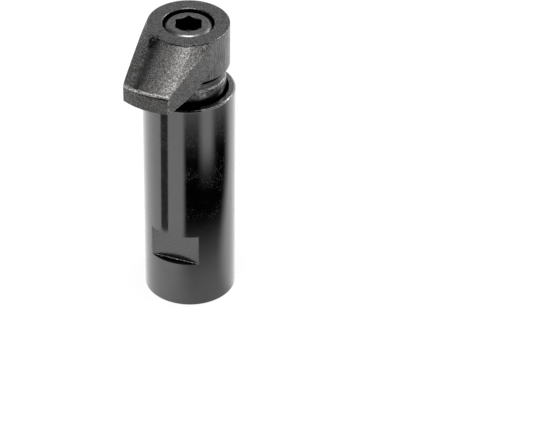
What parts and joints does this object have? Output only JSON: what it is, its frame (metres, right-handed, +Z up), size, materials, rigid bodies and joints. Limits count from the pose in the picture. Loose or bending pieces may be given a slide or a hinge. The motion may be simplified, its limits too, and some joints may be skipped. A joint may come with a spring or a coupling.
{
  "type": "hook clamp",
  "caption": "Screw-operated hook clamp: a swivelling hook with a tapered nose slides in a cylindrical sleeve, is pulled down by a hexagon socket screw and is lifted by a spring.",
  "frame": {"origin": "centre of the sleeve's flat base", "axes": "+Z up the axis of the sleeve, hook and clamp screw; the spanner flats of the sleeve face -Y and +Y; the nose of the hook points 7.45 degrees from -Y towards -X"},
  "size_m": [0.036, 0.0523, 0.122],
  "materials": {
    "housing": "turned steel, glossy black oxide",
    "hook": "forged steel, matt black oxide, turned shank",
    "clamp_screw": "steel, black oxide",
    "thrust_washer": "hardened steel, ground",
    "compression_spring": "drawn spring wire, oiled"
  },
  "bodies": {
    "sleeve": {"housing": "housing", "compression_spring": "compression_spring"},
    "carrier": {"thrust_washer": "thrust_washer"},
    "hook": {"hook": "hook"},
    "screw": {"clamp_screw": "clamp_screw"}
  },
  "joints": [
    {"name": "hook_travel", "type": "slide", "parent": "sleeve", "child": "carrier", "axis": [0, 0, 1], "range_m": [-0.00613, 0], "stiffness_N_per_m": 3000, "springref_m": 0.007, "deforming": ["compression_spring"]},
    {"name": "hook_swivel", "type": "hinge", "parent": "carrier", "child": "hook", "pos_m": [0, 0, 0.08], "axis": [0, 0, 1], "continuous": true},
    {"name": "screw_turn", "type": "hinge", "parent": "carrier", "child": "screw", "pos_m": [0, 0, 0.08], "axis": [0, 0, 1], "range_deg": [-1260, 0]}
  ],
  "couplings": [
    {"joint": "screw_turn", "follows": "hook_travel", "rad_per_m": 3590.4}
  ]
}
